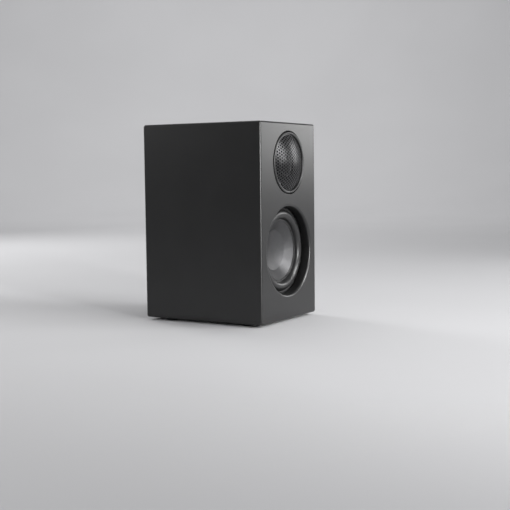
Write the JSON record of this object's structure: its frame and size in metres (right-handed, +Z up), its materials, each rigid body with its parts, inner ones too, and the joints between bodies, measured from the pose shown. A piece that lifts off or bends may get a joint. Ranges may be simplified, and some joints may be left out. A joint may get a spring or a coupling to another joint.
{
  "type": "bookshelf speaker",
  "caption": "Compact satin black bookshelf speaker with a recessed woofer, a domed perforated tweeter grille, a rear bass port and screw-cap binding posts.",
  "frame": {"origin": "floor level under the feet, at the middle of the overall footprint", "axes": "+Z up, front with both drivers faces -Y, +X to the right as seen from the front"},
  "size_m": [0.125, 0.1612, 0.223],
  "materials": {
    "cabinet_lacquer": "satin black lacquer on fibreboard",
    "raw_board": "raw fibreboard",
    "foot_rubber": "matt black rubber",
    "felt": "grey felt",
    "basket_paint": "black painted sheet steel",
    "gasket_foam": "dark foam",
    "surround_rubber": "satin black rubber",
    "cone_coating": "smooth satin grey-black coating",
    "former_film": "amber film",
    "copper_winding": "enamelled copper wire",
    "spider_cloth": "treated cloth",
    "motor_steel": "zinc-plated steel",
    "ferrite": "grey-black ferrite",
    "strip_board": "brown phenolic board",
    "tab_metal": "tinned brass",
    "screw_steel": "blackened steel",
    "faceplate_plastic": "satin black moulding",
    "grille_metal": "dark satin coated perforated steel",
    "dome_cloth": "black coated cloth",
    "back_plastic": "black moulding",
    "post_metal": "gold-coloured plated brass",
    "red_plastic": "red moulding",
    "black_plastic": "black moulding",
    "circuit_board": "glass-fibre board",
    "nylon": "natural nylon",
    "film_wrap": "yellow wrap",
    "can_sleeve": "dark blue sleeve",
    "cement": "white cement",
    "red_insulation": "red insulation",
    "black_insulation": "black insulation"
  },
  "bodies": {
    "cabinet": {"front_panel": "cabinet_lacquer", "left_panel": "cabinet_lacquer", "right_panel": "cabinet_lacquer", "top_panel": "cabinet_lacquer", "bottom_panel": "cabinet_lacquer", "back_panel": "cabinet_lacquer", "sub_baffle": "raw_board", "front_panel_pins": "raw_board", "foot_front_left": "foot_rubber", "foot_front_right": "foot_rubber", "foot_rear_left": "foot_rubber", "foot_rear_right": "foot_rubber", "damping_pads": "felt", "woofer_basket": "basket_paint", "woofer_rear_gasket": "gasket_foam", "woofer_front_gasket": "gasket_foam", "woofer_surround": "surround_rubber", "inductor_windings": "copper_winding", "woofer_spider": "spider_cloth", "woofer_top_plate": "motor_steel", "woofer_yoke": "motor_steel", "tweeter_top_plate": "motor_steel", "tweeter_yoke": "motor_steel", "woofer_magnet": "ferrite", "tweeter_magnet": "ferrite", "woofer_terminal_strip": "strip_board", "driver_tabs": "tab_metal", "solder_tags": "tab_metal", "woofer_screws": "screw_steel", "tweeter_screws": "screw_steel", "terminal_screws": "screw_steel", "tweeter_faceplate": "faceplate_plastic", "tweeter_rear_chamber": "faceplate_plastic", "tweeter_grille": "grille_metal", "tweeter_surround": "dome_cloth", "port_tube": "back_plastic", "terminal_cup": "back_plastic", "post_studs": "post_metal", "post_nuts": "post_metal", "red_post_collar": "red_plastic", "black_post_collar": "black_plastic", "crossover_board": "circuit_board", "board_posts": "nylon", "inductor_bobbins": "nylon", "film_capacitor": "film_wrap", "electrolytic_capacitor": "can_sleeve", "cement_resistor": "cement", "red_leads": "red_insulation", "black_leads": "black_insulation"},
    "woofer_moving": {"woofer_cone": "cone_coating", "woofer_dust_cap": "cone_coating", "woofer_former": "former_film", "woofer_voice_coil": "copper_winding"},
    "tweeter_moving": {"tweeter_dome": "dome_cloth", "tweeter_voice_coil": "copper_winding"},
    "red_insert": {"red_cap_insert": "post_metal"},
    "red_cap": {"red_post_cap": "red_plastic"},
    "black_insert": {"black_cap_insert": "post_metal"},
    "black_cap": {"black_post_cap": "black_plastic"}
  },
  "joints": [
    {"name": "woofer_excursion", "type": "slide", "parent": "cabinet", "child": "woofer_moving", "axis": [0, -1, 0], "range_m": [-0.004, 0.004], "stiffness_N_per_m": 1200, "deforming": ["woofer_surround", "woofer_spider"]},
    {"name": "tweeter_excursion", "type": "slide", "parent": "cabinet", "child": "tweeter_moving", "axis": [0, -1, 0], "range_m": [-0.0004, 0.0004], "stiffness_N_per_m": 400, "deforming": ["tweeter_surround"]},
    {"name": "red_cap_travel", "type": "slide", "parent": "cabinet", "child": "red_insert", "axis": [0, 1, 0], "range_m": [0, 0.006]},
    {"name": "red_cap_turn", "type": "hinge", "parent": "red_insert", "child": "red_cap", "pos_m": [0.00953, 0.0656, 0.061], "axis": [0, 1, 0], "range_deg": [0, 2161]},
    {"name": "black_cap_travel", "type": "slide", "parent": "cabinet", "child": "black_insert", "axis": [0, 1, 0], "range_m": [0, 0.006]},
    {"name": "black_cap_turn", "type": "hinge", "parent": "black_insert", "child": "black_cap", "pos_m": [-0.00953, 0.0656, 0.061], "axis": [0, 1, 0], "range_deg": [0, 2161]}
  ],
  "couplings": [
    {"joint": "red_cap_turn", "follows": "red_cap_travel", "rad_per_m": 6283.2},
    {"joint": "black_cap_turn", "follows": "black_cap_travel", "rad_per_m": 6283.2}
  ]
}
